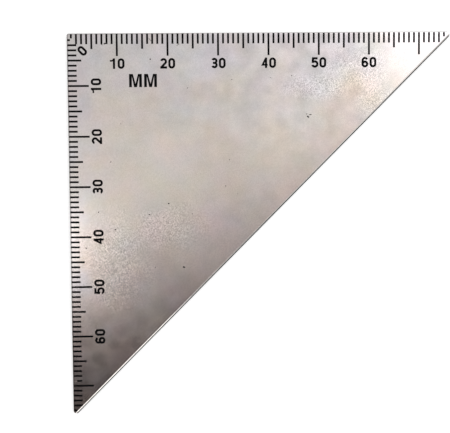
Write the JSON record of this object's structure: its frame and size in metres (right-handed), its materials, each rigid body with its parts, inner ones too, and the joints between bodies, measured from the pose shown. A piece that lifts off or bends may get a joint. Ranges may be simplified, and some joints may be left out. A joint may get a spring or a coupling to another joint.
{
  "type": "triangle ruler",
  "caption": "Thin satin steel right triangle with two equal legs, each with a black millimetre scale etched along its edge and numbered by tens from the square corner.",
  "frame": {"origin": "centre of the bounding box's underside, on the plane that the plain back lies on", "axes": "+X along the top leg from the square corner to its tip, +Y from the side leg's tip to the square corner, +Z out of the graduated face"},
  "size_m": [0.076, 0.076, 0.0008],
  "materials": {
    "satin_steel": "satin",
    "black_fill": "matte"
  },
  "bodies": {
    "root": {"triangle_plate": "satin_steel", "scale_marks": "black_fill", "scale_numbers": "black_fill"}
  },
  "joints": []
}
